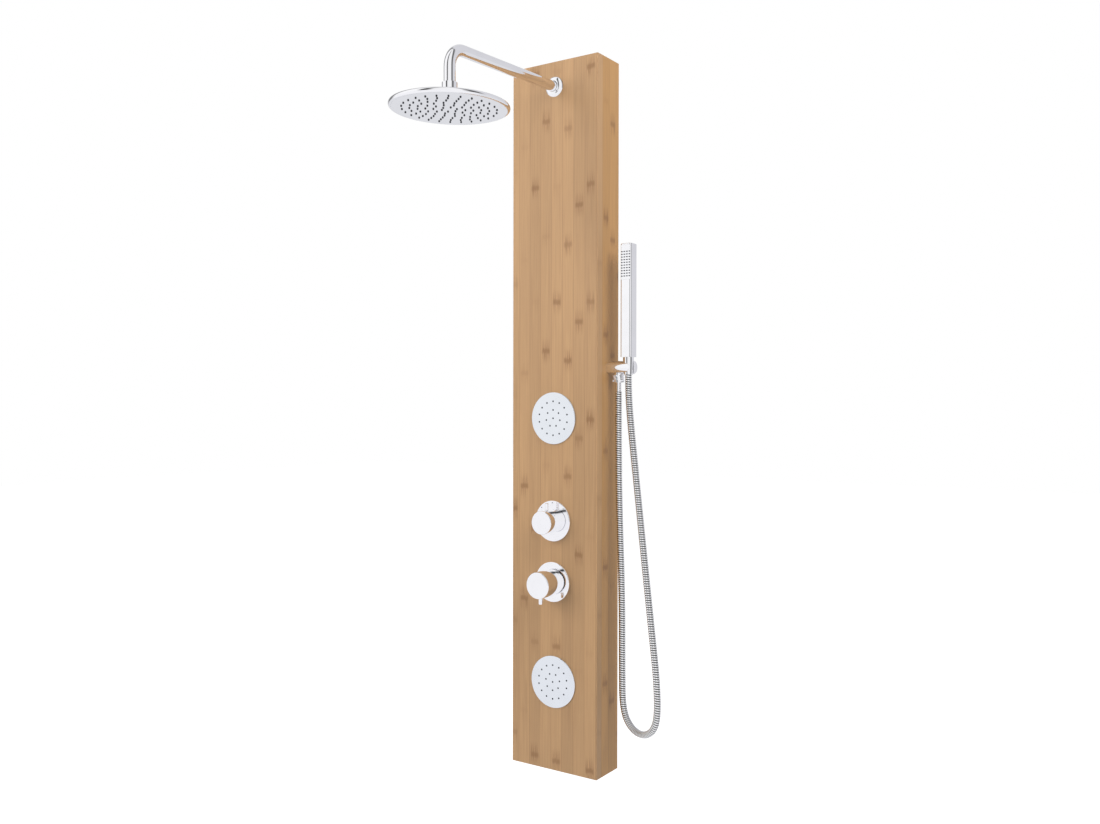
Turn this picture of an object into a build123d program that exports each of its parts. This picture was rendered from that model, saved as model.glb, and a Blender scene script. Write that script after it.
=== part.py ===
from build123d import *
import math
import os

# Shower column: a hollow bamboo panel that hangs on a wall and carries a rain head on an arm,
# two body jets, a diverter, a mixer, and a stick handset with its metal hose.
# Sizes are in millimetres. X points right, Y into the wall and Z up; the wall is the plane Y = 0.
# Heights count from the panel's bottom edge. The finished pieces are then moved so that the
# origin is the middle of the upper wall plate's screw holes, on the wall.

# Clearances
seat_gap = 0.3
thread_gap = 0.1
running_gap = 0.05
cut_margin = 1.0

# Panel boards
panel_height = 1400.0
panel_width = 200.0
panel_depth = 80.0
board_thickness = 18.0
board_edge_radius = 1.0

# Wall plates and hanger rails
plate_steel = 2.5
upper_plate_below_top = 115.0
lower_plate_height = 80.0
wall_plate_width = 150.0
wall_screw_spacing = 110.0
wall_screw_hole_radius = 3.25
wall_plate_low_margin = 15.0
wall_plate_high_margin = 15.0
hook_depth = 11.0
hook_height = 14.5
hook_gap = 1.0
rail_drop = 42.0
rail_tab_depth = 27.5
rail_screw_radius = 2.0
rail_screw_length = 14.0
rail_screw_head_radius = 4.0
rail_screw_head_height = 2.4
rail_screw_head_taper = 12.0
rail_screw_spread = 26.0

# Shower arm
arm_below_top = 49.0
arm_fall = 2.5
arm_reach = 322.2
arm_radius = 10.2
arm_bore_radius = 8.6
arm_bend_radius = 37.0
arm_tail = 24.0
arm_hole_gap = 1.5
arm_flange_radius = 20.5
arm_flange_height = 6.5
arm_flange_rim = 1.2
arm_flange_crown = 1.6
arm_flange_crown_height = 4.7
arm_nut_radius = 16.0
arm_nut_length = 8.0
arm_nut_stand_off = 0.85
arm_elbow_wall = 3.3
arm_elbow_drop = 26.0
arm_elbow_back = 10.0
arm_elbow_stub_radius = 9.0

# Rain head and its ball joint
head_face_below_arm = 122.0
head_lean = 1.4
head_radius = 104.2
head_rim_radius = 4.5
head_dome_height = 6.0
head_face_thickness = 2.0
head_face_lip = 0.2
head_side_wall = 2.0
head_chamber_height = 4.5
head_boss_radius = 12.0
head_boss_shoulder = 16.0
ball_above_face = 22.5
ball_radius = 9.5
ball_neck_radius = 4.5
ball_water_radius = 3.0
boss_below_ball = 1.2
stud_radius = 8.0
stud_length = 19.0
stud_shoulder = 0.2
cap_radius = 14.5
cap_above = 6.5
cap_chamfer = 1.5
seal_height = 1.4
end_nut_radius = 13.4
end_nut_bottom = 12.0
end_nut_height = 11.0
leg_engagement = 2.0
nozzle_ring_step = 13.6
nozzle_ring_counts = (6, 10, 14, 20, 24, 26)
nozzle_ring_turns = (19.5, 1.5, 13.0, 16.0, 7.5, 4.0)
nozzle_base_radius = 1.9
nozzle_tip_radius = 1.3
nozzle_bore_radius = 0.5
nozzle_stand_out = 1.6
nozzle_mat_thickness = 2.0

# Body jets
upper_jet_height = 697.7
lower_jet_height = 175.6
jet_cover_radius = 51.5
jet_cover_thickness = 3.0
jet_cover_edge = 1.2
jet_hole_radius = 1.0
jet_inner_ring = 16.5
jet_inner_count = 7
jet_outer_ring = 33.5
jet_outer_count = 14
jet_flange_radius = 45.7
jet_flange_thickness = 4.0
jet_chamber_radius = 37.0
jet_chamber_depth = 2.8
jet_barrel_radius = 29.7
jet_barrel_length = 48.0
jet_barrel_wall = 2.7
jet_nut_radius = 38.0
jet_nut_length = 8.0

# Water paths
pipe_radius = 6.0
pipe_bore_radius = 4.5
port_radius = 7.0
port_bore_radius = 4.5
pipe_bend_radius = 26.0
pipe_bend_share = 0.999
centre_pipe_depth = 56.0
jet_pipe_depth = 38.0
handset_pipe_depth = 47.0
jet_pipe_offset = 60.0
tee_radius = 8.0
tee_half_length = 16.0
port_length = 34.0

# Diverter
diverter_above_mixer = 120.5
diverter_plate_radius = 40.5
diverter_plate_height = 5.0
diverter_body_radius = 22.0
diverter_neck_radius = 17.0
diverter_neck_length = 10.0
valve_body_length = 48.0
diverter_chamber_radius = 11.2
diverter_cartridge_back = 50.0
diverter_cartridge_front = 8.0
diverter_nut_radius = 26.0
diverter_nut_height = 3.2
diverter_collar_radius = 22.0
diverter_collar_top = 18.0
diverter_collar_wall = 3.0
spindle_radius = 4.0
spindle_back = 44.0
knob_radius = 23.0
knob_back = 18.5
knob_front = 44.0
knob_wall = 3.0
knob_hub_radius = 8.0
knob_hub_back = 24.0
knob_edge_radius = 1.2
pin_edge_share = 0.3
diverter_pin_radius = 3.25
diverter_pin_tip = 36.6
diverter_pin_depth = 24.5
cover_sheet = 1.4

# Mixer
mixer_height = 374.2
mixer_plate_radius = 39.7
mixer_plate_height = 6.0
mixer_body_radius = 24.0
mixer_neck_radius = 20.0
mixer_chamber_radius = 17.6
mixer_chamber_depth = 42.0
mixer_water_radius = 9.0
mixer_nut_radius = 29.0
mixer_nut_height = 4.2
tilt_pivot = 8.0
dome_radius = 24.0
dome_wall = 2.0
dome_mouth_radius = 13.0
cartridge_front = 12.0
cartridge_recess_radius = 11.0
cartridge_recess_floor = 3.0
cartridge_nut_height = 4.0
carrier_radius = 13.0
carrier_thickness = 2.7
carrier_slot_length = 15.0
lever_ball_radius = 4.5
lever_radius = 3.5
lever_tip = 44.0
handle_radius = 26.0
handle_back = 17.5
handle_front = 57.0
handle_wall = 2.5
handle_top = 4.0
handle_hub_radius = 7.5
handle_hub_back = 33.0
handle_edge_radius = 1.5
mixer_pin_radius = 4.1
mixer_pin_tip = 38.0
mixer_pin_depth = 45.0

# Inlets
inlet_spacing = 38.0
inlet_depth = 50.0
inlet_boss_radius = 12.0
inlet_boss_drop = 34.0
inlet_plug_radius = 8.0
inlet_plug_length = 12.0
inlet_hex_radius = 13.0
inlet_hex_height = 6.0
inlet_thread_radius = 10.48
inlet_thread_length = 15.0
inlet_bore_radius = 6.5
check_valve_length = 10.0
check_valve_bore = 3.0

# Handset bracket and water outlet
outlet_height = 797.0
outlet_depth = 33.0
bracket_radius = 13.0
bracket_length = 55.5
bracket_edge_radius = 2.5
holder_offset = 42.0
outlet_offset = 20.0
hose_slot_width = 15.0
hose_slot_length = 30.0
hose_slot_turn = 30.0
outlet_nipple_radius = 10.4
outlet_nipple_engagement = 11.0
outlet_elbow_offset = 56.0
outlet_elbow_radius = 11.0
outlet_elbow_below = 14.0
outlet_nut_radius = 16.0
outlet_nut_length = 8.0
outlet_stub_radius = 8.5
outlet_stub_drop = 23.0
hose_nut_radius = 10.25
hose_nut_top = 13.4
hose_nut_bottom = 29.0
ferrule_radius = 5.4
ferrule_bottom = 47.0

# Conical hose nut and handset
cone_top_radius = 10.5
cone_tip_radius = 9.2
cone_straight = 8.0
cone_bottom_drop = 14.0
handset_above_outlet = 20.0
handset_length = 219.0
handset_side = 24.0
handset_corner_radius = 3.5
handset_inner_corner_radius = 1.3
handset_end_radius = 1.2
handset_wall = 2.2
handset_stub_radius = 7.0
handset_stub_length = 12.0
handset_plate_width = 20.0
handset_plate_length = 67.0
handset_plate_thickness = 2.0
handset_plate_below_top = 3.0
handset_nozzle_columns = 4
handset_nozzle_rows = 10
handset_nozzle_column_pitch = 5.6
handset_nozzle_row_pitch = 5.25
handset_nozzle_first_row = 16.0
handset_nozzle_radius = 0.95
handset_nozzle_stand_out = 1.0
handset_mat_thickness = 1.2

# Ribbed hose
hose_crest_radius = 6.85
hose_root_radius = 6.15
hose_bore_radius = 4.4
hose_rib_count = 196
hose_arc_share = 0.45
hose_loop_turn = 22.0
rib_groove_start = 0.08
rib_groove_end = 0.30
rib_crest_start = 0.42
rib_crest_end = 0.96

# The hose's route, from the water outlet down round the loop and up to the handset:
# X, Y and the drop below the outlet's height
hose_route = [
    (120.0, -33.0, 47.0),
    (120.0, -33.0, 155.0),
    (123.0, -33.0, 292.0),
    (129.2, -33.0, 447.0),
    (129.6, -33.0, 583.0),
    (131.9, -34.5, 668.5),
    (160.3, -46.0, 699.0),
    (200.4, -62.0, 699.0),
    (228.8, -73.8, 668.0),
    (227.6, -72.8, 595.0),
    (213.2, -66.0, 507.0),
    (189.6, -54.5, 365.0),
    (165.4, -43.5, 212.0),
    (149.4, -36.5, 111.0),
    (142.0, -33.0, 49.0),
    (142.0, -33.0, 14.0),
]

# Values worked out from the sizes above
upper_plate_height = panel_height - upper_plate_below_top
arm_height = panel_height - arm_below_top
head_face_height = arm_height - head_face_below_arm
ball_height = head_face_height + ball_above_face
diverter_height = mixer_height + diverter_above_mixer
half_width = panel_width / 2
inner_half_width = half_width - board_thickness
hollow_front = -panel_depth + board_thickness
valve_back = board_thickness + valve_body_length
head_y = -panel_depth - arm_reach
ball_clear = ball_radius + seat_gap
head_top = head_face_height + 2 * head_rim_radius
head_face_radius = head_radius - head_rim_radius
chamber_roof = head_face_height + head_face_thickness + head_chamber_height
boss_top = ball_height - boss_below_ball
nut_bottom = ball_height + end_nut_bottom
leg_bottom = nut_bottom + end_nut_height - leg_engagement
chamber_radius = head_face_radius - head_side_wall
face_bore_radius = head_face_radius - head_face_lip
holder_x = half_width + holder_offset
outlet_x = half_width + outlet_offset
cone_bottom = outlet_height - cone_bottom_drop
handset_bottom = outlet_height + handset_above_outlet
cone_top = handset_bottom - seat_gap
home = Location((0, 0, -upper_plate_height))

os.makedirs("parts", exist_ok=True)
pieces = {}


# A block given by its low and high corners
def block(low, high):
    size = [high[i] - low[i] for i in range(3)]
    middle = [(high[i] + low[i]) / 2 for i in range(3)]
    return Pos(*middle) * Box(*size)


# A round bar about the local Z axis, between two heights
def bar(radius, low, high):
    return Pos(0, 0, (low + high) / 2) * Cylinder(radius, high - low)


# A ring about the local Z axis
def ring(outer, inner, low, high):
    return bar(outer, low, high) - bar(inner, low, high)


# A turned piece about the local Z axis, from its closed outline in radius and height
def turned(*points):
    return revolve(Plane.XZ * make_face(Polyline(*points, close=True)), Axis.Z)


# The frame of a fitting on the panel's front: X right, Y up, Z out of the panel
def on_front(height):
    return Pos(0, -panel_depth, height) * Rot(90, 0, 0)


# A bar square to a fitting's axis, at one distance in front of the panel, turned from +X towards +Y
def side_bar(radius, start, end, out, turn):
    return Pos(0, 0, out) * Rot(0, 0, turn) * Rot(0, 90, 0) * bar(radius, start, end)


# A round tube along straight runs with equal bends
def bent_tube(points, radius, bore, bend):
    path = FilletPolyline(*points, radius=bend)
    section = Plane(origin=path @ 0, z_dir=path % 0) * (Circle(radius) - Circle(bore))
    return sweep(section, path=path)


# Panel boards
def make_panel():
    front = block((-half_width, -panel_depth, 0), (half_width, hollow_front, panel_height))
    upright = front.edges().filter_by(Axis.Z).sort_by(Axis.Y)[:2]
    front = fillet(upright, board_edge_radius)
    front -= on_front(arm_height) * bar(arm_radius + arm_hole_gap, -board_thickness, 0)
    for height in (upper_jet_height, lower_jet_height):
        front -= on_front(height) * bar(jet_barrel_radius + seat_gap, -board_thickness, 0)
        front -= on_front(height) * bar(jet_flange_radius + seat_gap, -jet_flange_thickness, 0)
    front -= on_front(diverter_height) * bar(diverter_neck_radius + seat_gap, -board_thickness, 0)
    front -= on_front(mixer_height) * bar(mixer_neck_radius + seat_gap, -board_thickness, 0)
    pieces["front_board"] = front

    for name, side in (("left_side_board", -1), ("right_side_board", 1)):
        near, far = sorted((side * inner_half_width, side * half_width))
        wall = block((near, hollow_front, 0), (far, 0, panel_height))
        for plate_height in (upper_plate_height, lower_plate_height):
            for height in rail_screw_heights(plate_height):
                hole = bar(rail_screw_radius + running_gap, 0, rail_screw_length - plate_steel)
                start = Pos(side * inner_half_width, rail_screw_y(), height)
                wall -= start * Rot(0, side * 90, 0) * hole
        if side > 0:
            hole = bar(outlet_nipple_radius + seat_gap, inner_half_width, half_width)
            wall -= Pos(0, -outlet_depth, outlet_height) * Rot(0, 90, 0) * hole
        pieces[name] = wall

    for name, low in (("bottom_board", 0), ("top_board", panel_height - board_thickness)):
        pieces[name] = block(
            (-inner_half_width, hollow_front, low),
            (inner_half_width, 0, low + board_thickness),
        )


# Where the rail's screws stand, beside the hook
def rail_screw_y():
    return -hook_depth - 2 * plate_steel - rail_tab_depth / 2


def rail_screw_heights(plate_height):
    middle = plate_height + wall_plate_high_margin + plate_steel + hook_height - rail_drop / 2
    return (middle - rail_screw_spread / 2, middle + rail_screw_spread / 2)


# Wall plates with an upward hook, and the rails in the panel that hang on them
def make_hangers():
    rails = []
    screws = []
    for place, height in (("upper", upper_plate_height), ("lower", lower_plate_height)):
        half = wall_plate_width / 2
        fold = height + wall_plate_high_margin
        hook_top = fold + plate_steel + hook_height
        plate = block((-half, -plate_steel, height - wall_plate_low_margin), (half, 0, fold))
        plate += block((-half, -hook_depth, fold), (half, 0, fold + plate_steel))
        plate += block((-half, -hook_depth, fold), (half, -hook_depth + plate_steel, hook_top))
        for side in (-1, 1):
            hole = bar(wall_screw_hole_radius, 0, plate_steel)
            plate -= Pos(side * wall_screw_spacing / 2, 0, height) * Rot(90, 0, 0) * hole
        pieces[f"{place}_wall_plate"] = plate

        web_back = -hook_depth - plate_steel / 2
        web_front = web_back - plate_steel
        tab_front = web_front - rail_tab_depth
        rail_bottom = hook_top - rail_drop
        rail_top = hook_top + plate_steel
        tongue_front = -hook_depth + plate_steel + hook_gap
        rail = block((-inner_half_width, web_front, rail_bottom), (inner_half_width, web_back, rail_top))
        rail += block((-half, web_front, hook_top), (half, tongue_front + plate_steel, rail_top))
        tongue_bottom = fold + 2 * plate_steel
        rail += block((-half, tongue_front, tongue_bottom), (half, tongue_front + plate_steel, rail_top))
        for side in (-1, 1):
            near, far = sorted((side * (inner_half_width - plate_steel), side * inner_half_width))
            rail += block((near, tab_front, rail_bottom), (far, web_back, rail_top))
            for screw_height in rail_screw_heights(height):
                inner_face = side * (inner_half_width - plate_steel)
                start = Pos(inner_face, rail_screw_y(), screw_height) * Rot(0, side * 90, 0)
                rail -= start * bar(rail_screw_radius + running_gap, 0, plate_steel)
                shank = bar(rail_screw_radius, 0, rail_screw_length)
                head = Pos(0, 0, -rail_screw_head_height) * extrude(
                    Circle(rail_screw_head_radius), rail_screw_head_height, taper=-rail_screw_head_taper
                )
                screws.append((start * (shank + head)).solid())
        rails.append(rail.solid())
    pieces["hanger_rails"] = Compound(children=rails)
    pieces["rail_screws"] = Compound(children=screws)


# Shower arm with its flange, nut and elbow
def make_arm():
    along_arm = Pos(0, -panel_depth, arm_height) * Rot(90 + arm_fall, 0, 0)
    fall = math.radians(arm_fall)
    tail = board_thickness + arm_tail
    corner_height = arm_height - arm_reach * math.tan(fall)
    points = [
        (0, -panel_depth + tail * math.cos(fall), arm_height + tail * math.sin(fall)),
        (0, head_y, corner_height),
        (0, head_y, leg_bottom),
    ]
    pieces["shower_arm"] = bent_tube(points, arm_radius, arm_bore_radius, arm_bend_radius)

    flange_bore = arm_radius + seat_gap + arm_flange_height * math.tan(fall)
    crown = ThreePointArc(
        (arm_flange_radius, arm_flange_rim),
        ((arm_flange_radius + flange_bore) / 2 + arm_flange_crown, arm_flange_crown_height),
        (flange_bore, arm_flange_height),
    )
    outline = crown + Polyline(
        (flange_bore, arm_flange_height),
        (flange_bore, 0),
        (arm_flange_radius, 0),
        (arm_flange_radius, arm_flange_rim),
    )
    flange = revolve(Plane.XZ * make_face(outline), Axis.Z)
    pieces["arm_flange"] = on_front(arm_height) * flange

    nut_front = -board_thickness - arm_nut_stand_off
    nut = ring(arm_nut_radius, arm_radius + thread_gap, nut_front - arm_nut_length, nut_front)
    pieces["arm_lock_nut"] = along_arm * nut

    elbow_front = nut_front - arm_nut_length - seat_gap
    elbow_back = -centre_pipe_depth - arm_elbow_back
    elbow_radius = arm_radius + thread_gap + arm_elbow_wall
    elbow = along_arm * bar(elbow_radius, elbow_back, elbow_front)
    stub_top = arm_height
    stub_bottom = arm_height - arm_elbow_drop
    down = Pos(0, -panel_depth + centre_pipe_depth, 0)
    elbow += down * bar(arm_elbow_stub_radius, stub_bottom, stub_top)
    elbow -= along_arm * bar(arm_radius + thread_gap, -tail, elbow_front)
    elbow -= along_arm * bar(arm_bore_radius, elbow_back + arm_elbow_wall, -tail)
    elbow -= down * bar(port_bore_radius, stub_bottom, stub_top)
    pieces["arm_elbow"] = elbow


# Ball joint between the arm's leg and the rain head
def make_ball_joint():
    place = Pos(0, head_y, 0)
    nut_top = nut_bottom + end_nut_height
    nut = ring(end_nut_radius, arm_radius + thread_gap, leg_bottom, nut_top)
    nut += ring(end_nut_radius, stud_radius + running_gap, nut_bottom, leg_bottom)
    pieces["arm_end_nut"] = place * nut

    stud = Pos(0, 0, ball_height) * Sphere(ball_radius)
    stud += bar(ball_neck_radius, ball_height, nut_bottom)
    stud += bar(stud_radius, nut_bottom - stud_shoulder, nut_bottom + stud_length)
    stud -= bar(ball_water_radius, ball_height - ball_radius, nut_bottom + stud_length)
    pieces["ball_stud"] = place * stud

    cap_bottom = head_top + head_dome_height + seat_gap
    shoulder = boss_top + seal_height
    cap_edge = ball_height + cap_above
    cap_top = cap_edge + cap_chamfer
    cap = bar(cap_radius, cap_bottom, cap_edge)
    cap += Pos(0, 0, cap_edge) * extrude(Circle(cap_radius), cap_chamfer, taper=45)
    cap -= bar(head_boss_radius + thread_gap, cap_bottom, shoulder)
    cap -= Pos(0, 0, ball_height) * Sphere(ball_clear)
    mouth = math.sqrt(ball_clear**2 - cap_above**2)
    cap -= bar(mouth, ball_height, cap_top)
    pieces["ball_cap"] = leaning() * cap

    seal = ring(head_boss_radius - thread_gap, ball_clear + thread_gap, boss_top, shoulder)
    pieces["ball_seal"] = leaning() * seal


# The rain head's place: under the arm's end, leaning a little sideways about the ball
def leaning():
    return Pos(0, head_y, ball_height) * Rot(0, head_lean, 0) * Pos(0, 0, -ball_height)


# Rain head: domed shell, face with holes, and the rubber mat whose nozzles stand through them
def make_head():
    place = leaning()
    edge_height = head_face_height + head_rim_radius
    face_top = head_face_height + head_face_thickness
    dome_top = head_top + head_dome_height
    rim = ThreePointArc(
        (head_face_radius, head_face_height),
        (head_radius, edge_height),
        (head_face_radius, head_top),
    )
    outline = rim + Polyline(
        (head_face_radius, head_top),
        (head_boss_shoulder, dome_top),
        (head_boss_radius, dome_top),
        (head_boss_radius, boss_top),
        (ball_water_radius, boss_top),
        (ball_water_radius, chamber_roof + head_dome_height / 2),
        (chamber_radius, chamber_roof),
        (chamber_radius, face_top + nozzle_mat_thickness),
        (face_bore_radius, face_top),
        (face_bore_radius, head_face_height),
        (head_face_radius, head_face_height),
    )
    shell = revolve(Plane.XZ * make_face(outline), Axis.Z)
    shell -= Pos(0, 0, ball_height) * Sphere(ball_clear)
    pieces["head_shell"] = place * shell

    nozzle_points = []
    for ring_number, count in enumerate(nozzle_ring_counts):
        radius = (ring_number + 1) * nozzle_ring_step
        for step in range(count):
            angle = math.radians(nozzle_ring_turns[ring_number] + 360.0 * step / count)
            nozzle_points.append((radius * math.cos(angle), radius * math.sin(angle)))

    plate_radius = face_bore_radius - thread_gap
    holes = [Pos(x, y) * Circle(nozzle_base_radius + thread_gap) for x, y in nozzle_points]
    face = Circle(plate_radius) - holes
    pieces["head_face"] = place * Pos(0, 0, head_face_height) * extrude(face, head_face_thickness)

    tip = head_face_height - nozzle_stand_out
    nozzles = [
        Pos(x, y, tip) * Cone(
            nozzle_tip_radius,
            nozzle_base_radius,
            face_top - tip,
            align=(Align.CENTER, Align.CENTER, Align.MIN),
        )
        for x, y in nozzle_points
    ]
    bores = [Pos(x, y) * Circle(nozzle_bore_radius) for x, y in nozzle_points]
    mat_radius = chamber_radius - thread_gap
    mat = Pos(0, 0, face_top) * extrude(Circle(mat_radius), nozzle_mat_thickness)
    mat = mat + nozzles
    mat -= Pos(0, 0, tip) * extrude(Sketch() + bores, face_top + nozzle_mat_thickness - tip)
    pieces["head_nozzle_mat"] = place * mat


# Body jets: a thin round cover with holes, the body behind it and the nut behind the board
def make_jets():
    hole_points = [(0.0, 0.0)]
    for radius, count in ((jet_inner_ring, jet_inner_count), (jet_outer_ring, jet_outer_count)):
        for step in range(count):
            angle = 2 * math.pi * step / count
            hole_points.append((radius * math.sin(angle), radius * math.cos(angle)))
    nuts = []
    lower_turn = 180.0 / jet_inner_count
    for place, height, turn in (("upper", upper_jet_height, 0), ("lower", lower_jet_height, lower_turn)):
        cover = bar(jet_cover_radius, 0, jet_cover_thickness)
        cover = fillet(cover.edges().sort_by(Axis.Z)[-1:], jet_cover_edge)
        holes = Sketch() + [Pos(x, y) * Circle(jet_hole_radius) for x, y in hole_points]
        cover -= extrude(holes, jet_cover_thickness)
        pieces[f"{place}_jet_cover"] = on_front(height) * Rot(0, 0, -turn) * cover

        body = bar(jet_flange_radius, -jet_flange_thickness, 0)
        body += bar(jet_barrel_radius, -jet_barrel_length, 0)
        body += side_bar(port_radius, 0, jet_pipe_end(), -jet_pipe_depth, 180)
        body -= bar(jet_chamber_radius, -jet_chamber_depth, 0)
        floor = -jet_barrel_length + jet_barrel_wall
        body -= bar(jet_barrel_radius - jet_barrel_wall, floor, 0)
        body -= side_bar(port_bore_radius, 0, jet_pipe_end(), -jet_pipe_depth, 180)
        pieces[f"{place}_jet_body"] = on_front(height) * body

        nut_front = -board_thickness
        nut = ring(jet_nut_radius, jet_barrel_radius + thread_gap, nut_front - jet_nut_length, nut_front)
        nuts.append((on_front(height) * nut).solid())
    pieces["jet_nuts"] = Compound(children=nuts)


# How far the jets' ports reach to meet the bend of their pipe
def jet_pipe_end():
    return jet_pipe_offset - pipe_bend_radius


# Diverter: valve body behind the board, nut and plate in front, cartridge, spindle and knob
def make_diverter():
    place = on_front(diverter_height)
    body = bar(diverter_body_radius, -valve_back, -board_thickness)
    body += bar(diverter_neck_radius, -board_thickness, diverter_neck_length)
    ports = [
        (centre_pipe_depth, 90, port_length),
        (centre_pipe_depth, -90, port_length),
        (jet_pipe_depth, 180, port_length),
        (handset_pipe_depth, 0, handset_port_length()),
    ]
    for depth, turn, length in ports:
        body += side_bar(port_radius, 0, length, -depth, turn)
    body -= bar(diverter_chamber_radius, -valve_back + diverter_collar_wall, diverter_neck_length)
    for depth, turn, length in ports:
        body -= side_bar(port_bore_radius, 0, length, -depth, turn)
    pieces["diverter_body"] = place * body

    nut = ring(diverter_nut_radius, diverter_neck_radius + thread_gap, 0, diverter_nut_height)
    pieces["diverter_lock_nut"] = place * nut

    pieces["diverter_plate"] = place * cover_plate(
        diverter_plate_radius, diverter_plate_height, diverter_neck_radius + seat_gap
    )

    collar_top = diverter_collar_top
    collar_roof = collar_top - diverter_collar_wall
    collar = turned(
        (diverter_neck_radius + thread_gap, diverter_plate_height),
        (diverter_collar_radius, diverter_plate_height),
        (diverter_collar_radius, collar_top),
        (spindle_radius + seat_gap, collar_top),
        (spindle_radius + seat_gap, collar_roof),
        (diverter_neck_radius + thread_gap, collar_roof),
    )
    pieces["diverter_collar"] = place * collar

    cartridge = ring(
        diverter_chamber_radius - thread_gap,
        spindle_radius + running_gap,
        -diverter_cartridge_back,
        diverter_cartridge_front,
    )
    pieces["diverter_cartridge"] = place * cartridge

    spindle_tip = knob_front - knob_wall - seat_gap
    pieces["diverter_spindle"] = place * bar(spindle_radius, -spindle_back, spindle_tip)

    knob = bar(knob_radius, knob_back, knob_front)
    knob = fillet(knob.edges().sort_by(Axis.Z)[-1:], knob_edge_radius)
    knob -= bar(knob_radius - knob_wall, knob_back, knob_front - knob_wall)
    knob += bar(knob_hub_radius, knob_hub_back, knob_front - knob_wall)
    knob -= bar(spindle_radius, knob_hub_back, knob_front - knob_wall)
    pin_start = knob_radius - knob_wall
    pin_end = knob_radius + cut_margin
    knob -= side_bar(diverter_pin_radius, pin_start - cut_margin, pin_end, diverter_pin_depth, 90)
    pieces["diverter_knob"] = place * knob

    pin = side_bar(diverter_pin_radius, pin_start, diverter_pin_tip, diverter_pin_depth, 90)
    pin = fillet(pin.edges().sort_by(Axis.Y)[-1:], diverter_pin_radius * pin_edge_share)
    pieces["diverter_pin"] = place * pin


# A shallow round cover with a hole for a valve's neck
def cover_plate(radius, height, hole_radius):
    plate = bar(radius, 0, height)
    plate = fillet(plate.edges().sort_by(Axis.Z)[-1:], cover_sheet)
    plate -= bar(radius - cover_sheet, 0, height - cover_sheet)
    return plate - bar(hole_radius, 0, height)


# How far the diverter's handset port reaches to meet the bend of its pipe
def handset_port_length():
    return outlet_elbow_offset - pipe_bend_radius


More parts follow.
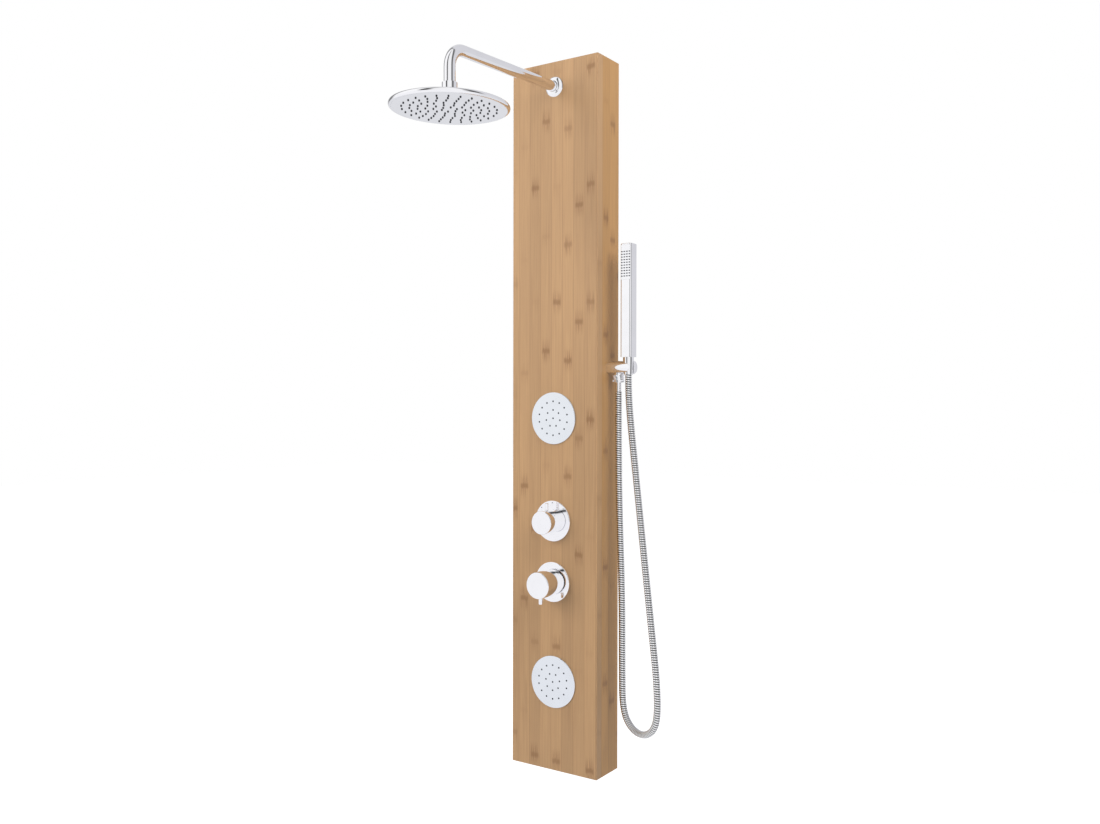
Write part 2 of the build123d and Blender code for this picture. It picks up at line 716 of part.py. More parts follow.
# Mixer: valve body with two inlets, nut and plate, domed collar, cartridge, lever and handle
def make_mixer():
    place = on_front(mixer_height)
    body = bar(mixer_body_radius, -valve_back, -board_thickness)
    body += bar(mixer_neck_radius, -board_thickness, mixer_plate_height)
    body += side_bar(port_radius, 0, port_length, -centre_pipe_depth, 90)
    for side in (-1, 1):
        inlet = Pos(side * inlet_spacing / 2, 0, 0)
        body += inlet * side_bar(inlet_boss_radius, 0, inlet_boss_drop, -inlet_depth, -90)
    body -= bar(mixer_chamber_radius, -mixer_chamber_depth, mixer_plate_height)
    water_back = -centre_pipe_depth - port_bore_radius
    body -= bar(mixer_water_radius, water_back, -mixer_chamber_depth)
    body -= side_bar(port_bore_radius, 0, port_length, -centre_pipe_depth, 90)
    for side in (-1, 1):
        inlet = Pos(side * inlet_spacing / 2, 0, 0)
        plug_start = inlet_boss_drop - inlet_plug_length
        body -= inlet * side_bar(inlet_plug_radius, plug_start, inlet_boss_drop, -inlet_depth, -90)
        body -= inlet * side_bar(port_bore_radius, mixer_chamber_radius / 2, plug_start, -inlet_depth, -90)
    pieces["mixer_body"] = place * body

    nut = ring(mixer_nut_radius, mixer_neck_radius + thread_gap, 0, mixer_nut_height)
    pieces["mixer_lock_nut"] = place * nut
    pieces["mixer_plate"] = place * cover_plate(
        mixer_plate_radius, mixer_plate_height, mixer_neck_radius + seat_gap
    )

    dome = Pos(0, 0, tilt_pivot) * (Sphere(dome_radius) - Sphere(dome_radius - dome_wall))
    dome -= bar(dome_radius * 2, -dome_radius * 2, mixer_plate_height)
    dome -= bar(dome_mouth_radius, tilt_pivot, tilt_pivot + dome_radius)
    pieces["mixer_collar"] = place * dome

    cartridge = bar(mixer_chamber_radius - thread_gap, -mixer_chamber_depth, cartridge_front)
    cartridge -= bar(cartridge_recess_radius, cartridge_recess_floor, cartridge_front)
    pieces["mixer_cartridge"] = place * cartridge

    retainer = ring(
        mixer_neck_radius,
        mixer_chamber_radius,
        mixer_plate_height,
        mixer_plate_height + cartridge_nut_height,
    )
    pieces["cartridge_nut"] = place * retainer

    carrier_back = cartridge_front + seat_gap
    carrier = bar(carrier_radius, carrier_back, carrier_back + carrier_thickness)
    slot = Box(2 * (lever_radius + seat_gap), carrier_slot_length, 2 * carrier_thickness)
    carrier -= Pos(0, 0, carrier_back + carrier_thickness / 2) * slot
    pieces["cartridge_carrier"] = place * carrier

    lever = Pos(0, 0, tilt_pivot) * Sphere(lever_ball_radius) + bar(lever_radius, tilt_pivot, lever_tip)
    pieces["cartridge_lever"] = place * lever

    roof = handle_front - handle_top
    handle = bar(handle_radius, handle_back, handle_front)
    handle = fillet(handle.edges().sort_by(Axis.Z)[-1:], handle_edge_radius)
    handle -= bar(handle_radius - handle_wall, handle_back, roof)
    handle += bar(handle_hub_radius, handle_hub_back, roof)
    handle -= bar(lever_radius, handle_hub_back, lever_tip + seat_gap)
    pin_start = handle_radius - handle_wall
    pin_end = handle_radius + cut_margin
    handle -= side_bar(mixer_pin_radius, pin_start - cut_margin, pin_end, mixer_pin_depth, -90)
    pieces["mixer_handle"] = place * handle

    pin = side_bar(mixer_pin_radius, pin_start, mixer_pin_tip, mixer_pin_depth, -90)
    pin = fillet(pin.edges().sort_by(Axis.Y)[:1], mixer_pin_radius * pin_edge_share)
    pieces["mixer_handle_pin"] = place * pin

    nipples = []
    valves = []
    for side in (-1, 1):
        start = Pos(side * inlet_spacing / 2, -panel_depth + inlet_depth, mixer_height - inlet_boss_drop)
        nipple = bar(inlet_plug_radius, 0, inlet_plug_length)
        nipple += extrude(RegularPolygon(inlet_hex_radius, 6), -inlet_hex_height)
        thread_end = -inlet_hex_height - inlet_thread_length
        nipple += bar(inlet_thread_radius, thread_end, -inlet_hex_height)
        nipple -= bar(inlet_bore_radius, thread_end, 0)
        nipple -= bar(port_bore_radius, 0, inlet_plug_length)
        nipples.append((start * nipple).solid())
        valve = ring(inlet_bore_radius - thread_gap, check_valve_bore, -check_valve_length, 0)
        valves.append((start * valve).solid())
    pieces["inlet_nipples"] = Compound(children=nipples)
    pieces["check_valves"] = Compound(children=valves)


# Pipes between the valves, the arm, the jets and the handset's outlet
def make_pipes():
    centre_y = -panel_depth + centre_pipe_depth
    jet_y = -panel_depth + jet_pipe_depth
    handset_y = -panel_depth + handset_pipe_depth
    straight = ring(
        pipe_radius, pipe_bore_radius, mixer_height + port_length, diverter_height - port_length
    )
    pieces["mixed_water_pipe"] = Pos(0, centre_y, 0) * straight
    head_end = arm_height - arm_elbow_drop
    head_pipe = ring(pipe_radius, pipe_bore_radius, diverter_height + port_length, head_end)
    pieces["head_pipe"] = Pos(0, centre_y, 0) * head_pipe

    tee = bar(tee_radius, -tee_half_length, tee_half_length)
    branch = Rot(0, 90, 0) * bar(tee_radius, 0, jet_pipe_offset - port_length)
    tee += branch
    tee -= bar(pipe_bore_radius, -tee_half_length, tee_half_length)
    tee -= Rot(0, 90, 0) * bar(pipe_bore_radius, 0, jet_pipe_offset - port_length)
    pieces["jet_tee"] = Pos(-jet_pipe_offset, jet_y, diverter_height) * tee
    for name, height, end in (
        ("upper_jet_pipe", upper_jet_height, diverter_height + tee_half_length),
        ("lower_jet_pipe", lower_jet_height, diverter_height - tee_half_length),
    ):
        points = [
            (-jet_pipe_offset, jet_y, end),
            (-jet_pipe_offset, jet_y, height),
            (-jet_pipe_end(), jet_y, height),
        ]
        pieces[name] = bent_tube(points, pipe_radius, pipe_bore_radius, pipe_bend_radius * pipe_bend_share)
    points = [
        (handset_port_length(), handset_y, diverter_height),
        (outlet_elbow_offset, handset_y, diverter_height),
        (outlet_elbow_offset, handset_y, outlet_height - outlet_elbow_below),
    ]
    bend = pipe_bend_radius * pipe_bend_share
    pieces["handset_pipe"] = bent_tube(points, pipe_radius, pipe_bore_radius, bend)


# Water outlet elbow in the hollow, the bracket on the side, and the hose's nut under it
def make_outlet():
    axis = Pos(0, -outlet_depth, outlet_height) * Rot(0, 90, 0)
    nipple_end = half_width + outlet_nipple_engagement
    elbow = axis * bar(outlet_nipple_radius, outlet_elbow_offset, nipple_end)
    upright = Pos(outlet_elbow_offset, -outlet_depth, outlet_height)
    elbow += upright * bar(outlet_elbow_radius, -outlet_elbow_below, outlet_elbow_radius)
    elbow -= axis * bar(pipe_radius, outlet_elbow_offset, nipple_end)
    elbow -= upright * bar(pipe_bore_radius, -outlet_elbow_below, 0)
    pieces["outlet_elbow"] = elbow

    nut_far = inner_half_width
    nut = ring(outlet_nut_radius, outlet_nipple_radius + thread_gap, nut_far - outlet_nut_length, nut_far)
    pieces["outlet_lock_nut"] = axis * nut

    bracket_end = half_width + bracket_length
    bracket = bar(bracket_radius, half_width, bracket_end)
    bracket = fillet(bracket.edges().sort_by(Axis.Z)[-1:], bracket_edge_radius)
    bracket = axis * bracket
    outlet = Pos(outlet_x, -outlet_depth, outlet_height)
    bracket += outlet * bar(outlet_stub_radius, -outlet_stub_drop, 0)
    bracket -= axis * bar(outlet_nipple_radius + thread_gap, half_width, nipple_end + seat_gap)
    bracket -= axis * bar(port_bore_radius, half_width, outlet_x)
    bracket -= outlet * bar(port_bore_radius, -outlet_stub_drop, 0)
    seat = Pos(holder_x, -outlet_depth, outlet_height)
    bracket -= seat * cone_outline(seat_gap, -bracket_radius - cut_margin, bracket_radius + cut_margin)
    slot = Box(hose_slot_length, hose_slot_width, 2 * (bracket_radius + cut_margin))
    bracket -= seat * Rot(0, 0, -hose_slot_turn) * Pos(hose_slot_length / 2, 0, 0) * slot
    pieces["outlet_bracket"] = bracket

    nut = bar(hose_nut_radius, -hose_nut_bottom, -hose_nut_top)
    nut -= bar(outlet_stub_radius + thread_gap, -outlet_stub_drop - seat_gap, -hose_nut_top)
    nut += bar(ferrule_radius, -ferrule_bottom, -hose_nut_bottom)
    nut -= bar(hose_bore_radius, -ferrule_bottom, -outlet_stub_drop)
    pieces["hose_nut"] = outlet * nut


# The conical nut's form about the outlet's height, grown by a gap: straight above, tapered below
def cone_outline(gap, low, high):
    straight_from = cone_top - cone_straight - outlet_height
    slope = (cone_top_radius - cone_tip_radius) / (straight_from + cone_bottom_drop)
    low_radius = cone_top_radius + gap - slope * (straight_from - low)
    return turned(
        (0, low),
        (low_radius, low),
        (cone_top_radius + gap, straight_from),
        (cone_top_radius + gap, high),
        (0, high),
    )


# Conical hose nut and the stick handset
def make_handset():
    place = Pos(holder_x, -outlet_depth, 0)
    nut = Pos(0, 0, outlet_height) * cone_outline(0, -cone_bottom_drop, cone_top - outlet_height)
    stub_bottom = handset_bottom - handset_stub_length
    nut -= bar(handset_stub_radius + running_gap, stub_bottom - seat_gap, cone_top)
    nut -= bar(hose_bore_radius, cone_bottom, stub_bottom)
    pieces["hose_cone_nut"] = place * nut

    handset_top = handset_bottom + handset_length
    outer = RectangleRounded(handset_side, handset_side, handset_corner_radius)
    inner_side = handset_side - 2 * handset_wall
    inner = RectangleRounded(inner_side, inner_side, handset_inner_corner_radius)
    body = extrude(outer, handset_length)
    body = fillet(body.faces().sort_by(Axis.Z)[-1].edges(), handset_end_radius)
    body = Pos(0, 0, handset_bottom) * body
    hollow = handset_length - 2 * handset_wall
    body -= Pos(0, 0, handset_bottom + handset_wall) * extrude(inner, hollow)
    body += bar(handset_stub_radius, stub_bottom, handset_bottom + handset_wall)
    body -= bar(hose_bore_radius, stub_bottom, handset_bottom + handset_wall)
    plate_top = handset_top - handset_plate_below_top
    plate_bottom = plate_top - handset_plate_length
    face_y = -handset_side / 2
    half_plate = handset_plate_width / 2
    body -= block(
        (-half_plate, face_y, plate_bottom),
        (half_plate, face_y + handset_corner_radius, plate_top),
    )
    pieces["handset_body"] = place * body

    gap = thread_gap
    plate = block(
        (-half_plate + gap, face_y, plate_bottom + gap),
        (half_plate - gap, face_y + handset_plate_thickness, plate_top - gap),
    )
    nubs = []
    for column in range(handset_nozzle_columns):
        x = (column - (handset_nozzle_columns - 1) / 2) * handset_nozzle_column_pitch
        for row in range(handset_nozzle_rows):
            z = handset_top - handset_nozzle_first_row - row * handset_nozzle_row_pitch
            at = Pos(x, 0, z) * Rot(90, 0, 0)
            plate -= at * bar(handset_nozzle_radius, -face_y - handset_plate_thickness, -face_y)
            nub = bar(
                handset_nozzle_radius,
                -face_y - handset_plate_thickness,
                -face_y + handset_nozzle_stand_out,
            )
            nubs.append(at * nub)
    pieces["handset_face_plate"] = place * plate
    back = face_y + handset_plate_thickness
    mat = block(
        (-inner_side / 2 + gap, back, plate_bottom + gap),
        (inner_side / 2 - gap, back + handset_mat_thickness, plate_top - gap),
    )
    pieces["handset_nozzles"] = place * (mat + nubs)


# Ribbed hose along its route: tangent arcs at the points, a bore, and ribs between straight ends
def make_hose():
    corners = [Vector(x, y, outlet_height - drop) for x, y, drop in hose_route]
    radii = []
    for i in range(1, len(corners) - 1):
        before = corners[i] - corners[i - 1]
        after = corners[i + 1] - corners[i]
        turn = math.radians(before.get_angle(after))
        shorter = min(before.length, after.length)
        radii.append(hose_arc_share * shorter / math.tan(turn / 2))
    path = FilletPolyline(*corners, radius=radii)
    length = path.length
    print("hose bend radii", [round(radius) for radius in radii])
    print("hose length", round(length, 1))

    plain_end = 2 * hose_crest_radius
    pitch = (length - 2 * plain_end) / hose_rib_count
    loop_turn = math.radians(hose_loop_turn)
    steady = Vector(math.sin(loop_turn), math.cos(loop_turn), 0)
    stations = [(0.0, hose_crest_radius), (plain_end, hose_crest_radius)]
    for rib in range(hose_rib_count):
        start = plain_end + rib * pitch
        stations.append((start + rib_groove_start * pitch, hose_root_radius))
        stations.append((start + rib_groove_end * pitch, hose_root_radius))
        stations.append((start + rib_crest_start * pitch, hose_crest_radius))
        stations.append((start + rib_crest_end * pitch, hose_crest_radius))
    stations.append((length, hose_crest_radius))
    sections = []
    for distance, radius in stations:
        share = distance / length
        plane = Plane(origin=path @ share, x_dir=steady, z_dir=path % share)
        sections.append(plane * Circle(radius))
    outside = loft(sections, ruled=True)
    bore_face = Plane(origin=path @ 0, x_dir=steady, z_dir=path % 0) * Circle(hose_bore_radius)
    hose = outside - sweep(bore_face, path=path)
    section = math.pi * (hose_crest_radius**2 - hose_bore_radius**2)
    print("hose volume share", round(hose.volume / (section * length), 3))
    pieces["shower_hose"] = hose


make_panel()
make_hangers()
make_arm()
make_ball_joint()
make_head()
make_jets()
make_diverter()
make_mixer()
make_pipes()
make_outlet()
make_handset()
make_hose()

for name, piece in pieces.items():
    export_step(home * piece, f"parts/{name}.step")
print(len(pieces), "pieces")
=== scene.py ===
import math
import bpy
from mathutils import Matrix, Vector


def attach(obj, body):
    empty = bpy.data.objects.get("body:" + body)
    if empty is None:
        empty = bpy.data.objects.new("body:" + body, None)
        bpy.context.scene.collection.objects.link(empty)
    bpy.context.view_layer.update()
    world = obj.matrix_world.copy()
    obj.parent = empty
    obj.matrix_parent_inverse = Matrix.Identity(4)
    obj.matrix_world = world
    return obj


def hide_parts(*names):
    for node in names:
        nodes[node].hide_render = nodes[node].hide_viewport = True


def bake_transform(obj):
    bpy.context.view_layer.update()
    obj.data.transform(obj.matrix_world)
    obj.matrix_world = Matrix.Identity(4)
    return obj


# Shower column: bamboo panel, chrome fittings and a metal hose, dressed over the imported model.
# Metres, in the model's frame: the wall is y = 0 and the panel stands in front of it.

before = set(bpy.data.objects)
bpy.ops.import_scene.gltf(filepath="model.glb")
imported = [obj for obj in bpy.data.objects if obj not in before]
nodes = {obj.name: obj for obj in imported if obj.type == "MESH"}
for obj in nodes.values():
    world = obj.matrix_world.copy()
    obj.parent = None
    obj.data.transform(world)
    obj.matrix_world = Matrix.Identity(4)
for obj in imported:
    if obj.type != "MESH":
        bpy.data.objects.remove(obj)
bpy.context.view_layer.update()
scene = bpy.context.scene
panelFoot = -1.285  # the panel's bottom edge in the frame
print("frame loaded:", len(nodes), "nodes")


# Small helpers for pieces, node trees and colours

def addPiece(name, mesh):
    piece = bpy.data.objects.new(name, mesh)
    scene.collection.objects.link(piece)
    return piece


def addNode(tree, kind, inputs=None, **settings):
    node = tree.nodes.new(kind)
    for key, value in settings.items():
        setattr(node, key, value)
    for key, value in (inputs or {}).items():
        if isinstance(value, bpy.types.NodeSocket):
            tree.links.new(value, node.inputs[key])
        else:
            node.inputs[key].default_value = value
    return node


def calc(tree, operation, *values):
    settings = dict(enumerate(values))
    return addNode(tree, "ShaderNodeMath", settings, operation=operation).outputs[0]


def smoothStep(tree, value, low, high, first=0.0, last=1.0):
    inputs = {"Value": value, "From Min": low, "From Max": high, "To Min": first, "To Max": last}
    node = addNode(tree, "ShaderNodeMapRange", inputs, interpolation_type="SMOOTHSTEP")
    return node.outputs["Result"]


def blendColours(tree, share, first, second):
    node = tree.nodes.new("ShaderNodeMix")
    node.data_type = "RGBA"
    slots = [s for s in node.inputs if s.enabled]
    for slot, value in zip(slots, (share, first, second)):
        if isinstance(value, bpy.types.NodeSocket):
            tree.links.new(value, slot)
        else:
            slot.default_value = value
    return next(s for s in node.outputs if s.enabled)


def colour(red, green, blue):
    def linear(value):
        value /= 255
        return value / 12.92 if value <= 0.04045 else ((value + 0.055) / 1.055) ** 2.4
    return (linear(red), linear(green), linear(blue), 1.0)


def newGeometryTree(name, sockets):
    tree = bpy.data.node_groups.new(name, "GeometryNodeTree")
    tree.interface.new_socket("Geometry", in_out="INPUT", socket_type="NodeSocketGeometry")
    for label, kind in sockets:
        tree.interface.new_socket(label, in_out="INPUT", socket_type="NodeSocket" + kind)
    tree.interface.new_socket("Geometry", in_out="OUTPUT", socket_type="NodeSocketGeometry")
    return tree


def finishTree(tree, geometry, material):
    real = addNode(tree, "GeometryNodeRealizeInstances", {"Geometry": geometry})
    painted = addNode(
        tree, "GeometryNodeSetMaterial", {"Geometry": real.outputs[0], "Material": material}
    )
    addNode(tree, "NodeGroupOutput", {"Geometry": painted.outputs[0]})


# Runs a tree on a mesh and keeps the result as a plain mesh
def growPiece(name, mesh, tree, values):
    carrier = addPiece(name + "Carrier", mesh)
    modifier = carrier.modifiers.new("grow", "NODES")
    modifier.node_group = tree
    for item in tree.interface.items_tree:
        if item.item_type == "SOCKET" and item.in_out == "INPUT" and item.name in values:
            modifier[item.identifier] = values[item.name]
    bpy.context.view_layer.update()
    seen = carrier.evaluated_get(bpy.context.evaluated_depsgraph_get())
    grown = bpy.data.meshes.new_from_object(seen)
    bpy.data.objects.remove(carrier)
    grown.name = name
    return addPiece(name, grown)


# Camera, at the photograph's place

cameraSettings = {
    "place": (1.1095, -1.7418, -0.5560),
    "turn": 33.950,
    "tilt": 89.457,
    "roll": 0.0893,
    "lens": 33.0735,
    "sensor": 36.0,
}


def makeCamera():
    data = bpy.data.cameras.new("studioCamera")
    data.sensor_width = cameraSettings["sensor"]
    data.lens = cameraSettings["lens"]
    data.clip_start = 0.05
    data.clip_end = 200
    camera = addPiece("studioCamera", data)
    turn = Matrix.Rotation(math.radians(cameraSettings["turn"]), 4, "Z")
    tilt = Matrix.Rotation(math.radians(cameraSettings["tilt"]), 4, "X")
    roll = Matrix.Rotation(math.radians(cameraSettings["roll"]), 4, "Z")
    camera.matrix_world = Matrix.Translation(cameraSettings["place"]) @ turn @ tilt @ roll
    scene.camera = camera


makeCamera()


# Finishes

def newFinish(name):
    material = bpy.data.materials.new(name + "Finish")
    material.use_nodes = True
    tree = material.node_tree
    tree.nodes.clear()
    surface = tree.nodes.new("ShaderNodeBsdfPrincipled")
    addNode(tree, "ShaderNodeOutputMaterial", {"Surface": surface.outputs["BSDF"]})
    place = addNode(tree, "ShaderNodeTexCoord").outputs["Object"]
    return material, tree, surface, place


def noiseAt(tree, place, scale, detail=2.0, stretch=(1, 1, 1)):
    mapped = addNode(tree, "ShaderNodeMapping", {"Vector": place, "Scale": stretch})
    inputs = {"Vector": mapped.outputs[0], "Scale": scale, "Detail": detail}
    return addNode(tree, "ShaderNodeTexNoise", inputs).outputs[0]


def bump(tree, surface, height, strength, distance):
    inputs = {"Height": height, "Strength": strength, "Distance": distance}
    node = addNode(tree, "ShaderNodeBump", inputs)
    tree.links.new(node.outputs["Normal"], surface.inputs["Normal"])


bambooSettings = {
    "pale": colour(204, 165, 123),
    "middle": colour(194, 155, 114),
    "dark": colour(179, 140, 101),
    "mark": colour(132, 90, 52),
    "seam": colour(152, 112, 74),
    "strip": 0.0259,
    "markSpacing": 0.227,
    "seamWidth": 0.0006,
    "markHalfWidth": 0.0095,
    "coat": 0.12,
    "coatRoughness": 0.25,
    "fineNoise": (1500, 3, (1, 1, 0.012)),  # scale, detail, stretch
    "grainNoise": (420, 3, (1, 1, 0.02)),
    "broadNoise": (90, 2, (1, 1, 0.035)),
    "streakStrength": 0.4,
    "tintSteps": (3.7, 1.3),  # from strip to strip, and per metre of height
    "shades": (0.90, 1.04),
    "waviness": 0.008,
    "coreHeight": (0.0015, 0.0085),
    "tailHeight": (0.003, 0.030),
    "coreStrength": 0.6,
    "tailStrength": 0.85,
    "seamStrength": 0.5,
    "roughness": (0.38, 0.52),
    "grainBump": (0.25, 0.0002),
}


# Laminated bamboo: strips along z, side by side on one axis, each with its own tint and node marks
def makeBamboo(name, axis, start, phases, seed, richness):
    s = bambooSettings
    material, tree, surface, place = newFinish(name)

    # How far a value lies from one half, times a size
    def fromMiddle(value, size):
        return calc(tree, "MULTIPLY", calc(tree, "SUBTRACT", value, 0.5), size)

    parts = addNode(tree, "ShaderNodeSeparateXYZ", {"Vector": place})
    across = calc(tree, "SUBTRACT", parts.outputs[axis], start)
    across = calc(tree, "DIVIDE", across, s["strip"])
    index = calc(tree, "FLOOR", across)
    inside = calc(tree, "FRACT", across)
    height = calc(tree, "SUBTRACT", parts.outputs["Z"], panelFoot)

    fine = noiseAt(tree, place, *s["fineNoise"])
    grain = noiseAt(tree, place, *s["grainNoise"])
    broad = noiseAt(tree, place, *s["broadNoise"])
    ground = blendColours(tree, smoothStep(tree, grain, 0.22, 0.78), s["dark"], s["pale"])
    evened = smoothStep(tree, broad, 0.3, 0.7, 0.3, 0.85)
    ground = blendColours(tree, evened, ground, s["middle"])
    streak = smoothStep(tree, fine, 0.5, 0.7, 0.0, s["streakStrength"])
    ground = blendColours(tree, streak, ground, s["dark"])

    stripStep, heightStep = s["tintSteps"]
    tintPlace = addNode(
        tree,
        "ShaderNodeCombineXYZ",
        {
            "X": calc(tree, "MULTIPLY", index, stripStep),
            "Y": seed,
            "Z": calc(tree, "MULTIPLY", height, heightStep),
        },
    )
    tint = addNode(
        tree, "ShaderNodeTexNoise", {"Vector": tintPlace.outputs[0], "Scale": 1.0, "Detail": 1.0}
    ).outputs[0]
    shade = smoothStep(tree, tint, 0.34, 0.66, *s["shades"])
    shaded = addNode(
        tree, "ShaderNodeHueSaturation", {"Color": ground, "Value": shade, "Saturation": richness}
    ).outputs["Color"]

    # Each strip's marks start at a height of its own
    ramp = tree.nodes.new("ShaderNodeValToRGB")
    ramp.color_ramp.interpolation = "CONSTANT"
    while len(ramp.color_ramp.elements) < len(phases):
        ramp.color_ramp.elements.new(1.0)
    for number, phase in enumerate(phases):
        element = ramp.color_ramp.elements[number]
        element.position = number / len(phases)
        element.color = (phase, phase, phase, 1)
    middle = calc(tree, "DIVIDE", calc(tree, "ADD", index, 0.5), len(phases))
    tree.links.new(middle, ramp.inputs["Fac"])
    phase = calc(tree, "SUBTRACT", height, ramp.outputs["Color"])
    turn = calc(tree, "ADD", calc(tree, "DIVIDE", phase, s["markSpacing"]), 0.5)
    away = fromMiddle(calc(tree, "FRACT", turn), s["markSpacing"])
    away = calc(tree, "ABSOLUTE", calc(tree, "ADD", away, fromMiddle(grain, s["waviness"])))
    sideways = calc(tree, "ABSOLUTE", fromMiddle(inside, s["strip"]))
    halfWidth = s["markHalfWidth"]
    inStrip = smoothStep(tree, sideways, halfWidth * 0.7, halfWidth * 1.25, 1, 0)
    core = calc(tree, "MULTIPLY", smoothStep(tree, away, *s["coreHeight"], 1, 0), inStrip)
    tails = calc(tree, "MULTIPLY", smoothStep(tree, away, *s["tailHeight"], 1, 0), inStrip)
    tails = calc(tree, "MULTIPLY", tails, smoothStep(tree, fine, 0.45, 0.62))
    core = calc(tree, "MULTIPLY", core, s["coreStrength"])
    tails = calc(tree, "MULTIPLY", tails, s["tailStrength"])
    row = addNode(
        tree, "ShaderNodeCombineXYZ", {"X": index, "Y": seed, "Z": calc(tree, "FLOOR", turn)}
    )
    chance = addNode(tree, "ShaderNodeTexWhiteNoise", {"Vector": row.outputs[0]}).outputs["Value"]
    spot = calc(tree, "MAXIMUM", core, tails)
    spot = calc(tree, "MULTIPLY", spot, smoothStep(tree, chance, 0.15, 0.6, 0.12, 1.0))
    marked = blendColours(tree, spot, shaded, s["mark"])

    edge = calc(tree, "MINIMUM", inside, calc(tree, "SUBTRACT", 1.0, inside))
    edge = calc(tree, "MULTIPLY", edge, s["strip"])
    low, high = s["seamWidth"] * 0.4, s["seamWidth"] * 1.2
    line = smoothStep(tree, edge, low, high, s["seamStrength"], 0.0)
    final = blendColours(tree, line, marked, s["seam"])
    tree.links.new(final, surface.inputs["Base Color"])
    rough = smoothStep(tree, grain, 0.2, 0.8, *s["roughness"])
    tree.links.new(rough, surface.inputs["Roughness"])
    surface.inputs["Coat Weight"].default_value = s["coat"]
    surface.inputs["Coat Roughness"].default_value = s["coatRoughness"]
    relief = calc(tree, "SUBTRACT", fine, calc(tree, "MULTIPLY", line, 0.8))
    bump(tree, surface, relief, *s["grainBump"])
    return material


metalSettings = {
    "chrome": {"tone": colour(250, 250, 252), "rough": (0.03, 0.09), "scratch": 700, "bump": 0.03},
    "jetChrome": {"tone": colour(233, 237, 242), "rough": (0.04, 0.10), "scratch": 700, "bump": 0.03},
    "wallSteel": {"tone": colour(186, 189, 192), "rough": (0.28, 0.42), "scratch": 500, "bump": 0.15},
    "screwSteel": {"tone": colour(198, 196, 182), "rough": (0.22, 0.4), "scratch": 900, "bump": 0.15},
    "brass": {"tone": colour(214, 178, 110), "rough": (0.2, 0.38), "scratch": 600, "bump": 0.12},
    "copper": {"tone": colour(205, 130, 96), "rough": (0.18, 0.4), "scratch": 350, "bump": 0.1},
}


# Metal with faint wear: the tone and the roughness drift, and fine lines follow one axis
def makeMetal(name, stretch=(1, 1, 0.04), dulled=0.12):
    s = metalSettings[name]
    material, tree, surface, place = newFinish(name)
    surface.inputs["Metallic"].default_value = 1.0
    cloud = noiseAt(tree, place, 28, 3)
    lines = noiseAt(tree, place, s["scratch"], 2, stretch)
    low, high = s["rough"]
    rough = smoothStep(tree, cloud, 0.3, 0.75, low, high)
    rough = calc(tree, "ADD", rough, calc(tree, "MULTIPLY", lines, 0.02))
    tree.links.new(rough, surface.inputs["Roughness"])
    worn = tuple(part * (1 - dulled) for part in s["tone"][:3]) + (1.0,)
    tone = blendColours(tree, smoothStep(tree, cloud, 0.35, 0.8, 0.0, 0.6), s["tone"], worn)
    tree.links.new(tone, surface.inputs["Base Color"])
    bump(tree, surface, lines, s["bump"], 0.0001)
    return material


plasticSettings = {
    "valvePlastic": {"tone": colour(64, 66, 70), "rough": (0.38, 0.55), "grain": 1600, "bump": 0.2},
    "sealRubber": {"tone": colour(38, 38, 40), "rough": (0.55, 0.75), "grain": 2200, "bump": 0.3},
    "nozzleRubber": {"tone": colour(62, 65, 70), "rough": (0.45, 0.65), "grain": 2400, "bump": 0.2},
}


# Moulded plastic and rubber: a fine grain and a slight drift of the tone
def makePlastic(name):
    s = plasticSettings[name]
    material, tree, surface, place = newFinish(name)
    cloud = noiseAt(tree, place, 60, 2)
    grain = noiseAt(tree, place, s["grain"], 2)
    paler = tuple(min(1.0, part * 1.25) for part in s["tone"][:3]) + (1.0,)
    tone = blendColours(tree, smoothStep(tree, cloud, 0.3, 0.7), s["tone"], paler)
    tree.links.new(tone, surface.inputs["Base Color"])
    low, high = s["rough"]
    tree.links.new(smoothStep(tree, grain, 0.3, 0.7, low, high), surface.inputs["Roughness"])
    bump(tree, surface, grain, s["bump"], 0.0001)
    return material


hoseMetalSettings = {
    "crest": colour(250, 250, 250),
    # the grooves' near-black tone is painted shade in the recesses, not the strip's own colour
    "paintedGrooveShade": colour(18, 18, 18),
    "roughness": (0.08, 0.2),
}


# Wound steel strip: bright crests, and painted shade darkening the grooves, read from the hose's own
# attribute
def makeHoseMetal():
    s = hoseMetalSettings
    material, tree, surface, place = newFinish("hoseMetal")
    surface.inputs["Metallic"].default_value = 1.0
    deep = addNode(tree, "ShaderNodeAttribute", attribute_name="grooveDepth").outputs["Fac"]
    # painted shade: the deeper the groove, the darker the metal
    tone = blendColours(tree, smoothStep(tree, deep, 0.25, 0.7, 0.0, 1.0), s["crest"], s["paintedGrooveShade"])
    tree.links.new(tone, surface.inputs["Base Color"])
    fine = noiseAt(tree, place, 900, 2)
    low, high = s["roughness"]
    tree.links.new(smoothStep(tree, fine, 0.3, 0.7, low, high), surface.inputs["Roughness"])
    bump(tree, surface, fine, 0.08, 0.0001)
    return material


finishes = {
    "chrome": makeMetal("chrome", dulled=0.05),
    "wall_steel": makeMetal("wallSteel", (0.04, 1, 1)),
    "screw_steel": makeMetal("screwSteel", (1, 1, 1)),
    "brass": makeMetal("brass", (1, 1, 0.2)),
    "copper_pipe": makeMetal("copper", (1, 1, 0.05), 0.3),
    "valve_plastic": makePlastic("valvePlastic"),
    "seal_rubber": makePlastic("sealRubber"),
    "nozzle_rubber": makePlastic("nozzleRubber"),
    "hose_metal": makeHoseMetal(),
}
print("finishes made")


# Hose: the route of the model, as one smooth line, with a wound metal strip round it

